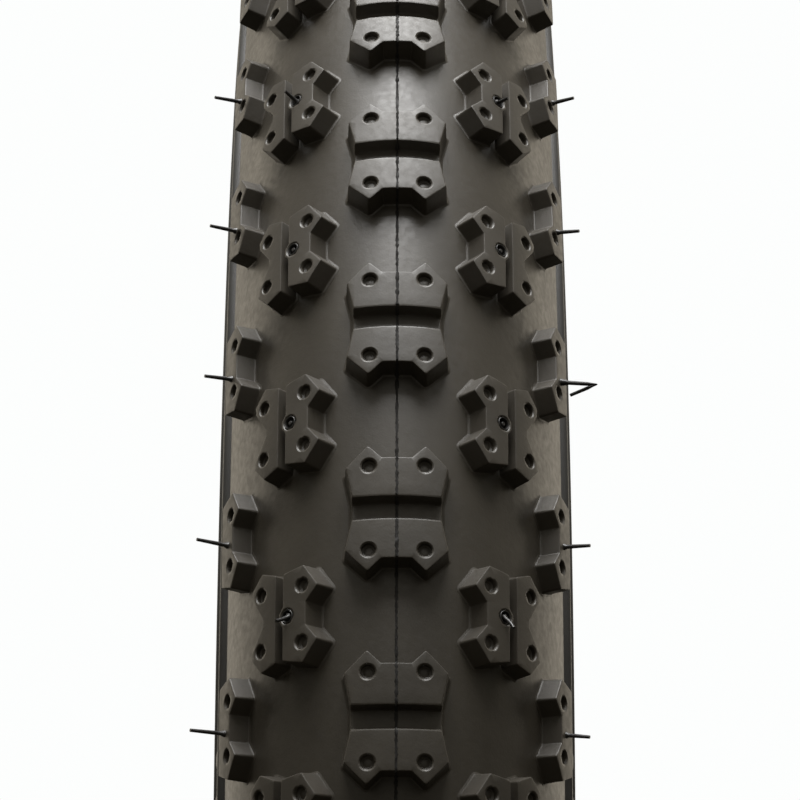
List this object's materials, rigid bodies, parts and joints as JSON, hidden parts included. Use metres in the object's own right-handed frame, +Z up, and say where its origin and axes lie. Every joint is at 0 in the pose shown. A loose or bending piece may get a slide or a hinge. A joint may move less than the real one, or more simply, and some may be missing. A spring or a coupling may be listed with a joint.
{
  "type": "bicycle tyre",
  "caption": "Clincher tyre for a 20-inch BMX wheel: a cord casing on wire beads, with a block tread and raised rings on its sidewalls.",
  "frame": {"origin": "the centre of the tyre, where the wheel's axle would be", "axes": "+Y is the axis the wheel spins about, +Z is up, +X is the front of the tyre"},
  "size_m": [0.52, 0.066, 0.52],
  "materials": {
    "tread_rubber": "cured tread rubber, matte with a faint sheen",
    "sidewall_rubber": "cured sidewall rubber, satin",
    "casing_cord": "nylon cord fabric coated in rubber",
    "chafer_fabric": "fine woven strip coated in rubber",
    "bead_steel": "bronze-coated bead wire",
    "spew_rubber": "thin cured rubber flash"
  },
  "bodies": {
    "root": {"inner_ply": "casing_cord", "outer_ply": "casing_cord", "bead_wire_left": "bead_steel", "bead_wire_right": "bead_steel", "bead_wrap_left": "sidewall_rubber", "bead_wrap_right": "sidewall_rubber", "chafer_left": "chafer_fabric", "chafer_right": "chafer_fabric", "sidewall_left": "sidewall_rubber", "sidewall_right": "sidewall_rubber", "sidewall_bars_left": "sidewall_rubber", "sidewall_bars_right": "sidewall_rubber", "tread_base": "tread_rubber", "centre_blocks": "tread_rubber", "inner_blocks_left": "tread_rubber", "inner_blocks_right": "tread_rubber", "outer_blocks_left": "tread_rubber", "outer_blocks_right": "tread_rubber", "shoulder_blocks_left": "tread_rubber", "shoulder_blocks_right": "tread_rubber", "vent_bosses_left": "tread_rubber", "vent_bosses_right": "tread_rubber", "vent_spews_left": "spew_rubber", "vent_spews_right": "spew_rubber", "shoulder_spews_left": "spew_rubber", "shoulder_spews_right": "spew_rubber", "mould_flash": "spew_rubber"}
  },
  "joints": []
}
